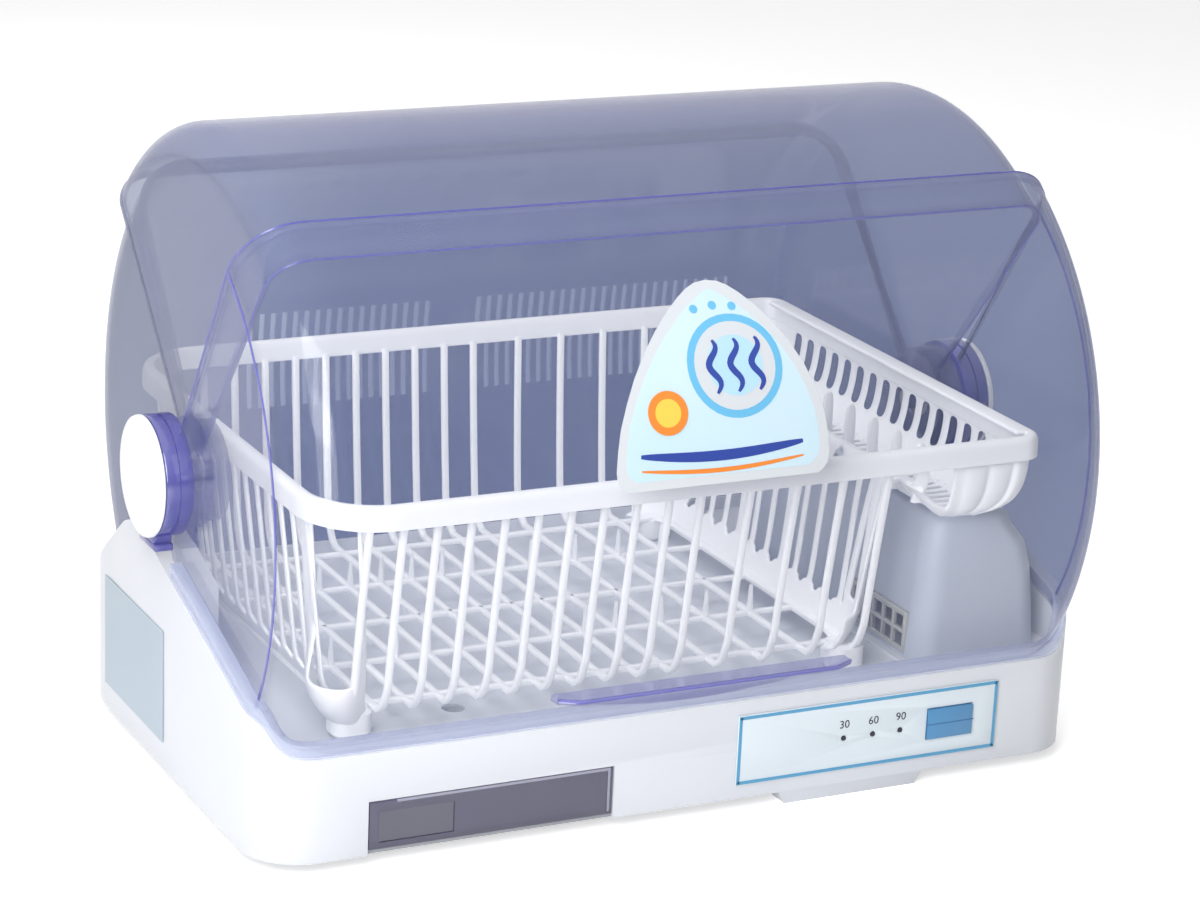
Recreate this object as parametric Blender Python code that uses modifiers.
"""Electric dish dryer: a dish rack under three nested see-through covers, on a white blower base.

Run it with blender --background --python part.py, or from Blender's text editor.
Lengths are metres. +Z is up, the front faces -Y, and the origin is on the table under the middle.
Angles of the covers are counted about the hinge line, from straight ahead (0) up and over the back.
"""
import math

import bmesh
import bpy
from mathutils import Matrix, Vector

# Shared clearances
GAP = 0.0003
RUNNING_GAP = 0.001
OVERRUN = 0.01
MERGE_DISTANCE = 0.00001

# Base housing: the plan outline and the walls
BASE_WIDTH = 0.540
BASE_FRONT_Y = -0.1705
BASE_REAR_Y = 0.169
BASE_FRONT_RADIUS = 0.035
BASE_REAR_RADIUS = 0.072
BASE_LIFT = 0.008
BASE_WALL = 0.0025
DECK_TOP_Z = 0.0645
DECK_THICKNESS = 0.0025
FRONT_WALL_TOP_Z = 0.070
REAR_WALL_TOP_Z = 0.073

# Base housing: the cheek line, which rises from the front corner to the hinge
CHEEK_FOOT_Y = -0.152
CHEEK_FOOT_Z = 0.090
CHEEK_BEND_Y = -0.020
CHEEK_BEND_Z = 0.129
CHEEK_PEAK_FRONT_Y = 0.022
CHEEK_PEAK_REAR_Y = 0.058
CHEEK_PEAK_Z = 0.143
CHEEK_TAIL_Y = 0.150
CHEEK_RISE_SHARES = ((0.25, 0.08), (0.5, 0.36), (0.75, 0.80))
SHOULDER_FRONT_Y = -0.030
CAVITY_REAR_RADIUS = 0.033

# Hinge line and covers
PIVOT_Z = 0.186
FRONT_COVER_RADIUS = 0.208
NEST_STEP = 0.005
COVER_WALL = 0.0022
FRONT_COVER_INSET = 0.008
MIDDLE_COVER_INSET = 0.014
REAR_COVER_INSET = 0.0055
FRONT_COVER_CORNER = 0.036
MIDDLE_COVER_CORNER = 0.022
REAR_COVER_CORNER = 0.033
FRONT_TOP_ANGLE = 57.0
FRONT_LOW_ANGLE = -86.0
MIDDLE_FRONT_ANGLE = 51.0
MIDDLE_REAR_ANGLE = 135.0
REAR_FRONT_ANGLE = 129.0
REAR_LOW_ANGLE = 262.0
RIM_PROUD = 0.001
RIM_WALL = 0.004
RIM_ANGLE = 2.2
RIM_OVERLAP_ANGLE = 0.25
FACET_ANGLE = 8.0
CORNER_STEPS = 3

# Front cover: the seating flange and the handle lip
FLANGE_HEIGHT = 0.008
FLANGE_INSET = 0.0005
FLANGE_WIDTH = 0.0085
FLANGE_END_Y = -0.036
LIP_HALF = 0.095
LIP_CENTRE_X = -0.0045
LIP_TOP_Z = 0.0955
LIP_DROP = 0.003
LIP_REACH = 0.014
LIP_ROOT_DROP = 0.010

# Hinge hubs, pins and caps
PIN_RADIUS = 0.006
HUB_FRONT_RADIUS = 0.036
HUB_MIDDLE_RADIUS = 0.033
HUB_REAR_RADIUS = 0.030
HUB_REAR_DEPTH = 0.008
HUB_REAR_STAND = 0.0015
WASHER_THICKNESS = 0.001
WASHER_RADIUS = 0.012
HUB_FRONT_DEPTH = 0.0032
HUB_FRONT_STAND = 0.014
CAP_THICKNESS = 0.0047
CAP_SKIRT = 0.002
LUG_HALF = 0.014
LUG_STAND = 0.002
LUG_OVERLAP = 0.008
HUB_SIDES = 32
PIN_SIDES = 16

# Vent slots in the rear cover
VENT_WIDTH = 0.0036
VENT_NEAR_SHARE = 0.9
VENT_UPPER_Z = (0.184, 0.220)
VENT_LOWER_Z = (0.157, 0.181)
VENT_LEFT_LAST_X = -0.0168
VENT_LEFT_COUNT = 17
VENT_RIGHT_X = 0.020
VENT_RIGHT_INSET = 0.0341
VENT_RIGHT_COUNT = 25

# Dish rack
RACK_RIM_TOP_Z = 0.2115
RACK_RIM_HEIGHT = 0.014
RACK_SIDE_CLEARANCE = 0.0095
RACK_END_CLEARANCE = 0.028
RACK_CORNER = 0.045
RACK_TRAY_CORNER = 0.016
RACK_WALL = 0.003
TUB_TOP_INSET = 0.0045
TRAY_SPAN = 0.083
TUB_FLOOR_Z = 0.078
TUB_FLOOR_THICKNESS = 0.004
TUB_HEEL_RISE = 0.022
TUB_LEFT_DRAW = 0.028
TUB_RIGHT_DRAW = 0.022
TUB_FRONT_DRAW = 0.028
TUB_REAR_DRAW = 0.035
TUB_HEEL_OUT = 0.007
TUB_BOTTOM_CORNER = 0.030
TRAY_FLOOR_Z = 0.160
TRAY_LAP = 0.005
TRAY_BOTTOM_INSET = 0.022
TRAY_WALL = 0.0025
RIB_WIDTH = 0.005
RIB_FIRST_INSET = 0.027
RIB_LAST_INSET = 0.004
RIB_NEAR_COUNT = 10
RIB_WIDE_SHARE = 1.5
RIB_WIDE_COUNT = 4
CROSS_BAR_WIDTH = 0.005
CROSS_BAR_FRONT_INSET = 0.015
CROSS_BAR_REAR_INSET = 0.018
CROSS_BAR_COUNT = 5
SIDE_SLOT_COUNT = 13
SIDE_SLOT_WIDTH = 0.013
SIDE_SLOT_FRONT_INSET = 0.025
SIDE_SLOT_REAR_INSET = 0.011
CORNER_GAP_INSET = 0.0058
CORNER_GAP_WIDTH = 0.011
TRAY_SLOT_COUNT = 16
TRAY_SLOT_WIDTH = 0.0085
TRAY_SLOT_FRONT_INSET = 0.043
TRAY_SLOT_REAR_INSET = 0.0395
TRAY_SLOT_DEPTH = 0.022
TRAY_WINDOW_INSET = 0.079
TRAY_WINDOW_WIDTH = 0.021
TRAY_WINDOW_HEIGHT = 0.022
PLATE_PEG_HEIGHT = 0.018
PLATE_PEG_WIDTH = 0.004
CUP_PEG_INSET = 0.009
CUP_PEG_FRONT_INSET = 0.025
CUP_PEG_PITCH = 0.028
CUP_PEG_COUNT = 10
CUP_PEG_TOP_Z = 0.207
CUP_PEG_WIDTH = 0.007
CUP_PEG_DEPTH = 0.004
RACK_FOOT_LENGTH = 0.016
RACK_FOOT_INSET = 0.030
RACK_FOOT_SETBACK = 0.003
RACK_SECTION_INSET = 0.007
RACK_SECTION_LEFT_INSET = 0.0045
RACK_SECTION_DROP = 0.001

# Blower housing on the right of the deck
DUCT_WIDTH = 0.0905
DUCT_INSET = 0.0135
DUCT_FRONT_INSET = 0.0295
DUCT_STEP_Y = -0.040
DUCT_TOP_Z = 0.156
DUCT_WALL = 0.0022
DUCT_CORNER = 0.016
DUCT_DRAFT = 0.009
DUCT_CROWN = 0.010
DUCT_FLARE = 0.020
FAN_ROOM_CLEARANCE = 0.0063
FAN_ROOM_REAR_Y = 0.100
GRILLE_FRONT_Y = -0.126
GRILLE_REAR_Y = -0.046
GRILLE_LOW_Z = 0.067
GRILLE_HIGH_Z = 0.093
GRILLE_THICKNESS = 0.003
GRILLE_BAR = 0.0022
GRILLE_COLUMNS = 6
GRILLE_ROWS = 2
GRILLE_FRAME = 0.003

# Fan, motor and heater
FAN_INSET = 0.0375
FAN_Y = 0.050
FAN_RADIUS = 0.030
FAN_HEIGHT = 0.028
FAN_LIFT = 0.006
FAN_BLADES = 18
FAN_BLADE_WIDTH = 0.006
FAN_BLADE_THICKNESS = 0.0012
FAN_DISC = 0.0015
FAN_HUB_RADIUS = 0.008
SHAFT_RADIUS = 0.0015
MOTOR_RADIUS = 0.026
MOTOR_HEIGHT = 0.034
HEATER_REAR_Y = -0.014
HEATER_LENGTH = 0.022
HEATER_FIN_COUNT = 9
HEATER_FIN_THICKNESS = 0.0012
HEATER_FRAME = 0.003
HEATER_INSET = 0.010
HEATER_WIDTH = 0.054
HEATER_HEIGHT = 0.046
THERMOSTAT_RADIUS = 0.008
THERMOSTAT_HEIGHT = 0.009

# Drip drawer, its bay and the drain
DRAWER_INSET = 0.065
DRAWER_WIDTH = 0.153
DRAWER_TOP_Z = 0.0405
DRAWER_DEPTH = 0.110
DRAWER_WALL = 0.002
DRAWER_FACE = 0.003
RUNNER_WIDTH = 0.003
RUNNER_HEIGHT = 0.012
DRAIN_INSET_X = 0.077
DRAIN_INSET_Y = 0.0605
DRAIN_RADIUS = 0.007
DRAIN_WALL = 0.0015
DRAIN_FLANGE = 0.013

# Bottom plate, feet and screws
PLATE_THICKNESS = 0.0025
FOOT_RADIUS = 0.011
FOOT_INSET_X = 0.045
FOOT_INSET_FRONT = 0.040
FOOT_INSET_REAR = 0.050
TOE_LEFT_X = 0.058
TOE_RIGHT_X = 0.158
TOE_DEPTH = 0.030
TOE_SLOPE = 0.006
SCREW_RADIUS = 0.0018
SCREW_HEAD_RADIUS = 0.0036
SCREW_HEAD = 0.002
SCREW_DOME_SHARE = 0.6
BOARD_SCREW_SHARE = 0.5
SCREW_SIDES = 8
POST_RADIUS = 0.005
POST_HOLE_DEPTH = 0.015
INTAKE_SLOTS = 8
INTAKE_PITCH = 0.008
INTAKE_SLOT_WIDTH = 0.004
INTAKE_SLOT_LENGTH = 0.045
FILTER_THICKNESS = 0.002
FILTER_MARGIN = 0.004

# Control panel
PANEL_LEFT_X = 0.028
PANEL_INSET = 0.063
PANEL_LOW_Z = 0.017
PANEL_HIGH_Z = 0.061
PANEL_THICKNESS = 0.0012
BUTTON_WIDTH = 0.031
BUTTON_INSET = 0.018
BUTTON_LOW_Z = 0.029
BUTTON_HIGH_Z = 0.048
BUTTON_PROUD = 0.0015
BUTTON_CLEARANCE = 0.0006
BUTTON_TRAVEL = 0.0008
BUTTON_FLANGE = 0.002
LIGHT_WORDS = ("short", "long", "auto")
LIGHT_INSETS = (0.058, 0.038, 0.019)
LIGHT_Z = 0.0375
LIGHT_RADIUS = 0.0015
LIGHT_PROUD = 0.0004
BOARD_SETBACK = 0.009
BOARD_THICKNESS = 0.0016
BOARD_MARGIN = 0.005
SWITCH_SIZE = 0.006
RELAY_SIZE = (0.015, 0.018, 0.012)

# Blank plate on the left cheek and label on the front cover
RATING_FRONT_Y = -0.010
RATING_REAR_Y = 0.096
RATING_LOW_Z = 0.024
RATING_HIGH_Z = 0.094
RATING_THICKNESS = 0.0004
LABEL_CENTRE_X = -0.004
LABEL_HALF = 0.066
LABEL_LOW_ANGLE = 9.0
LABEL_HIGH_ANGLE = 47.0
LABEL_THICKNESS = 0.0003
LABEL_CROWN_SHARE = 0.12
LABEL_SHARES = ((1.0, 0.0), (1.0, 0.2), (0.86, 0.48), (0.60, 0.76), (0.30, 0.95), (0.0, 1.0))

# Cord inlet at the rear and the wiring inside
INLET_INSET = 0.120
INLET_Z = 0.032
INLET_RADIUS = 0.0075
INLET_COLLAR = 0.0095
INLET_BORE = 0.0036
INLET_PROUD = 0.004
WIRE_RADIUS = 0.0012
WIRE_LIFT = 0.009
WIRE_SPREAD = 0.040

# Values worked out from the sizes above: base and covers
BASE_HALF = BASE_WIDTH / 2
FRONT_COVER_HALF = BASE_HALF - FRONT_COVER_INSET
MIDDLE_COVER_HALF = FRONT_COVER_HALF - MIDDLE_COVER_INSET
REAR_COVER_HALF = MIDDLE_COVER_HALF - REAR_COVER_INSET
MIDDLE_COVER_RADIUS = FRONT_COVER_RADIUS - NEST_STEP
REAR_COVER_RADIUS = MIDDLE_COVER_RADIUS - NEST_STEP
PIVOT_Y = (FRONT_COVER_RADIUS - REAR_COVER_RADIUS) / 2
PIVOT = Vector((0.0, PIVOT_Y, PIVOT_Z))
SHOULDER_INNER_X = REAR_COVER_HALF + RIM_PROUD + GAP
HUB_REAR_START_X = REAR_COVER_HALF - HUB_REAR_DEPTH
HUB_REAR_END_X = REAR_COVER_HALF + HUB_REAR_STAND
HUB_SPLIT_X = FRONT_COVER_HALF - HUB_FRONT_DEPTH
HUB_OUTER_X = FRONT_COVER_HALF + HUB_FRONT_STAND
LUG_START_X = FRONT_COVER_HALF + LUG_STAND
VENT_PITCH = (REAR_COVER_HALF - VENT_RIGHT_INSET - VENT_RIGHT_X - VENT_WIDTH) / (VENT_RIGHT_COUNT - 1)
VENT_LEFT_X = VENT_LEFT_LAST_X - VENT_PITCH * (VENT_LEFT_COUNT - 1)
DECK_UNDER_Z = DECK_TOP_Z - DECK_THICKNESS
PLATE_TOP_Z = BASE_LIFT + PLATE_THICKNESS
FRONT_INNER_Y = BASE_FRONT_Y + BASE_WALL
SIDES = (-1, 1)

# Values worked out from the sizes above: rack
RACK_RIM_HALF = REAR_COVER_HALF - RACK_SIDE_CLEARANCE
RACK_FRONT_Y = PIVOT_Y - REAR_COVER_RADIUS + RACK_END_CLEARANCE
RACK_REAR_Y = PIVOT_Y + REAR_COVER_RADIUS - RACK_END_CLEARANCE
RACK_RIM_UNDER_Z = RACK_RIM_TOP_Z - RACK_RIM_HEIGHT
TUB_TOP_RIGHT_X = RACK_RIM_HALF - TRAY_SPAN
TUB_BOTTOM_LEFT_X = -RACK_RIM_HALF + TUB_LEFT_DRAW
TUB_BOTTOM_RIGHT_X = TUB_TOP_RIGHT_X - TUB_RIGHT_DRAW
TUB_BOTTOM_FRONT_Y = RACK_FRONT_Y + TUB_FRONT_DRAW
TUB_BOTTOM_REAR_Y = RACK_REAR_Y - TUB_REAR_DRAW
TRAY_LEFT_X = TUB_TOP_RIGHT_X - TRAY_LAP
TRAY_WINDOW_LEFT_X = RACK_RIM_HALF - TRAY_WINDOW_INSET
CUP_PEG_X = TUB_TOP_RIGHT_X + CUP_PEG_INSET
CUP_PEG_FIRST_Y = RACK_FRONT_Y + CUP_PEG_FRONT_INSET
RIB_FIRST_X = -RACK_RIM_HALF + RIB_FIRST_INSET
RIB_SPAN = TUB_BOTTOM_RIGHT_X - RIB_LAST_INSET - RIB_FIRST_X
RIB_NEAR_PITCH = RIB_SPAN / (RIB_NEAR_COUNT + RIB_WIDE_COUNT * RIB_WIDE_SHARE)
RIB_WIDE_PITCH = RIB_NEAR_PITCH * RIB_WIDE_SHARE
CROSS_BAR_FIRST_Y = TUB_BOTTOM_FRONT_Y + CROSS_BAR_FRONT_INSET
CROSS_BAR_LAST_Y = TUB_BOTTOM_REAR_Y - CROSS_BAR_REAR_INSET
CROSS_BAR_PITCH = (CROSS_BAR_LAST_Y - CROSS_BAR_FIRST_Y) / (CROSS_BAR_COUNT - 1)
SIDE_SLOT_FIRST_Y = TUB_BOTTOM_FRONT_Y + SIDE_SLOT_FRONT_INSET
SIDE_SLOT_LAST_Y = TUB_BOTTOM_REAR_Y - SIDE_SLOT_REAR_INSET - SIDE_SLOT_WIDTH
SIDE_SLOT_PITCH = (SIDE_SLOT_LAST_Y - SIDE_SLOT_FIRST_Y) / (SIDE_SLOT_COUNT - 1)
TRAY_SLOT_FIRST_Y = RACK_FRONT_Y + TRAY_SLOT_FRONT_INSET
TRAY_SLOT_LAST_Y = RACK_REAR_Y - TRAY_SLOT_REAR_INSET - TRAY_SLOT_WIDTH
TRAY_SLOT_PITCH = (TRAY_SLOT_LAST_Y - TRAY_SLOT_FIRST_Y) / (TRAY_SLOT_COUNT - 1)

# Values worked out from the sizes above: blower, drawer, panel and inlet
DUCT_RIGHT_X = BASE_HALF - DUCT_INSET
DUCT_LEFT_X = DUCT_RIGHT_X - DUCT_WIDTH
DUCT_FRONT_Y = BASE_FRONT_Y + DUCT_FRONT_INSET
FAN_ROOM_RIGHT_X = SHOULDER_INNER_X - FAN_ROOM_CLEARANCE
FAN_X = DUCT_LEFT_X + FAN_INSET
HEATER_LEFT_X = DUCT_LEFT_X + HEATER_INSET
HEATER_RIGHT_X = HEATER_LEFT_X + HEATER_WIDTH
DRAWER_LEFT_X = -BASE_HALF + DRAWER_INSET
DRAWER_RIGHT_X = DRAWER_LEFT_X + DRAWER_WIDTH
DRAIN_X = DRAWER_LEFT_X + DRAIN_INSET_X
DRAIN_Y = BASE_FRONT_Y + DRAIN_INSET_Y
PANEL_RIGHT_X = BASE_HALF - PANEL_INSET
BUTTON_RIGHT_X = PANEL_RIGHT_X - BUTTON_INSET
BUTTON_LEFT_X = BUTTON_RIGHT_X - BUTTON_WIDTH
LIGHT_XS = tuple(BUTTON_LEFT_X - inset for inset in LIGHT_INSETS)
BOARD_Y = FRONT_INNER_Y + BOARD_SETBACK
INLET_X = BASE_HALF - INLET_INSET


def make_collection(name):
    """Return a new collection linked to the scene."""
    group = bpy.data.collections.new(name)
    bpy.context.scene.collection.children.link(group)
    return group


def make_material(name, colour, roughness, metallic=0.0, alpha=1.0):
    """Return a Principled material."""
    material = bpy.data.materials.new(name)
    material.use_nodes = True
    shader = material.node_tree.nodes["Principled BSDF"]
    shader.inputs["Base Color"].default_value = (*colour, 1.0)
    shader.inputs["Roughness"].default_value = roughness
    shader.inputs["Metallic"].default_value = metallic
    shader.inputs["Alpha"].default_value = alpha
    return material


def to_object(name, shape, group, origin=(0.0, 0.0, 0.0), parent=None):
    """Turn a bmesh in world coordinates into an object whose origin is at the given point."""
    bmesh.ops.recalc_face_normals(shape, faces=shape.faces)
    bmesh.ops.translate(shape, verts=shape.verts, vec=-Vector(origin))
    mesh = bpy.data.meshes.new(name)
    shape.to_mesh(mesh)
    shape.free()
    piece = bpy.data.objects.new(name, mesh)
    group.objects.link(piece)
    piece.location = Vector(origin)
    if parent is not None:
        piece.parent = parent
        piece.location = Vector(origin) - parent.location
    return piece


def part(name, shape, material, origin=(0.0, 0.0, 0.0), parent=None):
    """Add one named piece of the dryer."""
    piece = to_object(name, shape, PARTS, origin, parent)
    piece.data.materials.append(material)
    return piece


def tool(name, shape):
    """Add a hidden tool for a Boolean modifier."""
    return hide_tool(to_object(name, shape, CUTTERS))


def hide_tool(piece):
    """Keep a tool out of renders and draw it as wire."""
    piece.hide_render = True
    piece.display_type = "WIRE"
    return piece


def boolean(piece, cutter, operation):
    """Add a Boolean modifier to a piece."""
    modifier = piece.modifiers.new(cutter.name, "BOOLEAN")
    modifier.object = cutter
    modifier.operation = operation
    modifier.solver = "EXACT"


def cut(piece, shape, name):
    """Take a shape away from a piece."""
    boolean(piece, tool(piece.name + "_" + name, shape), "DIFFERENCE")


def add(piece, shape, name):
    """Join a shape to a piece."""
    boolean(piece, tool(piece.name + "_" + name, shape), "UNION")


def smooth(piece, angle=35.0):
    """Shade a round piece smooth, with its edges kept sharp."""
    piece.data.shade_smooth()
    piece.data.set_sharp_from_angle(angle=math.radians(angle))


def block(low, high, shape=None):
    """Return a box between two corners, added to a shape if one is given."""
    shape = shape or bmesh.new()
    made = bmesh.ops.create_cube(shape, size=1.0)["verts"]
    size = Vector(high) - Vector(low)
    centre = (Vector(high) + Vector(low)) / 2
    bmesh.ops.scale(shape, verts=made, vec=size)
    bmesh.ops.translate(shape, verts=made, vec=centre)
    return shape


def rod(start, end, radius, sides, shape=None, end_radius=None):
    """Return a round bar from one point to another."""
    shape = shape or bmesh.new()
    start = Vector(start)
    reach = Vector(end) - start
    made = bmesh.ops.create_cone(
        shape,
        cap_ends=True,
        segments=sides,
        radius1=radius,
        radius2=radius if end_radius is None else end_radius,
        depth=reach.length,
    )["verts"]
    turn = Vector((0.0, 0.0, 1.0)).rotation_difference(reach.normalized()).to_matrix()
    bmesh.ops.rotate(shape, verts=made, matrix=turn, cent=(0.0, 0.0, 0.0))
    bmesh.ops.translate(shape, verts=made, vec=start + reach / 2)
    return shape


def ring(start, end, outer, inner, sides):
    """Return a tube with flat ends, as a bridge between four circles."""
    start = Vector(start)
    axis = (Vector(end) - start).normalized()
    turn = Vector((0.0, 0.0, 1.0)).rotation_difference(axis)
    loops = []
    for centre, radius in ((start, inner), (start, outer), (Vector(end), outer), (Vector(end), inner)):
        loops.append([centre + turn @ Vector((radius * math.cos(a), radius * math.sin(a), 0.0))
                      for a in (math.tau * i / sides for i in range(sides))])
    return loft(loops, closed=True)


def loft(loops, closed=False):
    """Bridge point loops of equal length; cap the two ends, or close the last loop on the first."""
    shape = bmesh.new()
    rows = [[shape.verts.new(point) for point in loop] for loop in loops]
    count = len(rows[0])
    pairs = list(zip(rows, rows[1:]))
    if closed:
        pairs.append((rows[-1], rows[0]))
    for low, high in pairs:
        for i in range(count):
            j = (i + 1) % count
            shape.faces.new((low[i], low[j], high[j], high[i]))
    if not closed:
        shape.faces.new(list(reversed(rows[0])))
        shape.faces.new(rows[-1])
    return shape


def rounded(left, right, front, rear, front_radius, rear_radius, steps=5):
    """Return the plan points of a box outline with round corners, anticlockwise from the rear right."""
    corners = (
        (right - rear_radius, rear - rear_radius, rear_radius, 0),
        (left + rear_radius, rear - rear_radius, rear_radius, 1),
        (left + front_radius, front + front_radius, front_radius, 2),
        (right - front_radius, front + front_radius, front_radius, 3),
    )
    points = []
    for x, y, radius, quarter in corners:
        for i in range(steps + 1):
            angle = math.pi / 2 * (quarter + i / steps)
            points.append((x + radius * math.cos(angle), y + radius * math.sin(angle)))
    return points


def column(outlines):
    """Stack plan outlines, each given with its height, into a closed solid."""
    return loft([[Vector((x, y, z)) for x, y in points] for points, z in outlines])


def prism(points, low_x, high_x):
    """Extrude an outline in the Y-Z plane along X."""
    return loft([[Vector((x, y, z)) for y, z in points] for x in (low_x, high_x)])


def base_outline(inset):
    """Return the base's plan outline, drawn in by an inset."""
    return rounded(
        -BASE_HALF + inset,
        BASE_HALF - inset,
        BASE_FRONT_Y + inset,
        BASE_REAR_Y - inset,
        BASE_FRONT_RADIUS - inset,
        BASE_REAR_RADIUS - inset,
        steps=6,
    )


def cheek_line(lift=0.0):
    """Return the base's top edge as Y-Z points, from the front wall to the rear wall."""
    line = [(BASE_FRONT_Y - OVERRUN, FRONT_WALL_TOP_Z), (BASE_FRONT_Y, FRONT_WALL_TOP_Z)]
    for run, rise in CHEEK_RISE_SHARES:
        y = BASE_FRONT_Y + run * (CHEEK_FOOT_Y - BASE_FRONT_Y)
        line.append((y, FRONT_WALL_TOP_Z + rise * (CHEEK_FOOT_Z - FRONT_WALL_TOP_Z)))
    line += [
        (CHEEK_FOOT_Y, CHEEK_FOOT_Z),
        (CHEEK_BEND_Y, CHEEK_BEND_Z),
        (CHEEK_PEAK_FRONT_Y, CHEEK_PEAK_Z),
        (CHEEK_PEAK_REAR_Y, CHEEK_PEAK_Z),
        (CHEEK_TAIL_Y, REAR_WALL_TOP_Z),
        (BASE_REAR_Y + OVERRUN, REAR_WALL_TOP_Z),
    ]
    return [(y, z + lift) for y, z in line]


def cheek_height(y):
    """Return the height of the base's top edge at a depth."""
    line = cheek_line()
    for (y0, z0), (y1, z1) in zip(line, line[1:]):
        if y0 <= y <= y1:
            return z0 + (z1 - z0) * (y - y0) / (y1 - y0)
    return REAR_WALL_TOP_Z


def make_base_housing():
    """Make the white housing: outer wall, deck, cheeks and shoulders."""
    top = CHEEK_PEAK_Z + OVERRUN
    shape = column([(base_outline(0.0), BASE_LIFT), (base_outline(0.0), top)])
    housing = part("base_housing", shape, WHITE)
    line = cheek_line()
    ends = [(BASE_REAR_Y + OVERRUN, top + OVERRUN), (BASE_FRONT_Y - OVERRUN, top + OVERRUN)]
    cut(housing, prism(line + ends, -BASE_WIDTH, BASE_WIDTH), "above")
    front = rounded(
        -BASE_HALF + BASE_WALL,
        BASE_HALF - BASE_WALL,
        FRONT_INNER_Y,
        SHOULDER_FRONT_Y,
        BASE_FRONT_RADIUS - BASE_WALL,
        BASE_WALL,
    )
    cut(housing, column([(front, DECK_TOP_Z), (front, top + OVERRUN)]), "front_well")
    rear = rounded(
        -SHOULDER_INNER_X,
        SHOULDER_INNER_X,
        SHOULDER_FRONT_Y - OVERRUN,
        BASE_REAR_Y - BASE_WALL,
        BASE_WALL,
        CAVITY_REAR_RADIUS,
    )
    cut(housing, column([(rear, DECK_TOP_Z), (rear, top + OVERRUN)]), "rear_well")
    below = base_outline(BASE_WALL)
    cut(housing, column([(below, 0.0), (below, DECK_UNDER_Z)]), "under_deck")
    for side in SIDES:
        hollow_shoulder(housing, side)
    cut_front_wall(housing)
    cut_deck(housing)
    add_posts(housing)
    return housing


def hollow_shoulder(housing, side):
    """Open the shoulder beside the rear cover from below, so it is a shell."""
    inner_x = SHOULDER_INNER_X + BASE_WALL
    outer_x = BASE_HALF - BASE_WALL
    top_drop = -2 * BASE_WALL
    inside = [(y, z) for y, z in cheek_line(top_drop)
              if CHEEK_BEND_Y < y < CHEEK_TAIL_Y]
    front_y = SHOULDER_FRONT_Y + BASE_WALL
    rear_y = BASE_REAR_Y - BASE_REAR_RADIUS
    start = (front_y, cheek_height(front_y) + top_drop)
    end = (rear_y, cheek_height(rear_y) + top_drop)
    floor_z = DECK_UNDER_Z - BASE_WALL
    points = [(front_y, floor_z), start, *inside, end, (rear_y, floor_z)]
    low_x, high_x = sorted((side * inner_x, side * outer_x))
    cut(housing, prism(points, low_x, high_x), "shoulder_left" if side < 0 else "shoulder_right")


def cut_front_wall(housing):
    """Cut the drawer's bay and the holes for the button and the lights."""
    through = (BASE_FRONT_Y - OVERRUN, FRONT_INNER_Y + OVERRUN)
    cut(housing, block((DRAWER_LEFT_X - GAP, through[0], 0.0),
                       (DRAWER_RIGHT_X + GAP, through[1], DRAWER_TOP_Z + GAP)), "drawer_mouth")
    shape = block(
        (BUTTON_LEFT_X - BUTTON_CLEARANCE, through[0], BUTTON_LOW_Z - BUTTON_CLEARANCE),
        (BUTTON_RIGHT_X + BUTTON_CLEARANCE, through[1], BUTTON_HIGH_Z + BUTTON_CLEARANCE))
    for x in LIGHT_XS:
        rod((x, through[0], LIGHT_Z), (x, through[1], LIGHT_Z), LIGHT_RADIUS + GAP, SCREW_SIDES, shape)
    cut(housing, shape, "panel_holes")
    inlet = rod((INLET_X, BASE_REAR_Y - BASE_WALL - OVERRUN, INLET_Z),
                (INLET_X, BASE_REAR_Y + OVERRUN, INLET_Z), INLET_RADIUS + GAP, PIN_SIDES)
    cut(housing, inlet, "inlet_hole")


def cut_deck(housing):
    """Cut the drain, the motor's shaft hole and the air passage from the base to the fan room."""
    low = DECK_UNDER_Z - OVERRUN
    high = DECK_TOP_Z + OVERRUN
    shape = rod((DRAIN_X, DRAIN_Y, low), (DRAIN_X, DRAIN_Y, high), DRAIN_RADIUS, PIN_SIDES)
    rod((FAN_X, FAN_Y, low), (FAN_X, FAN_Y, high), FAN_HUB_RADIUS, PIN_SIDES, shape)
    cut(housing, shape, "deck_holes")


def post_places():
    """Return the places of the posts that the bottom plate is screwed to."""
    x = BASE_HALF - FOOT_INSET_X / 2
    front = BASE_FRONT_Y + FOOT_INSET_FRONT
    rear = BASE_REAR_Y - BASE_REAR_RADIUS
    return [(side * x, y) for side in SIDES for y in (front, rear)]


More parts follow.
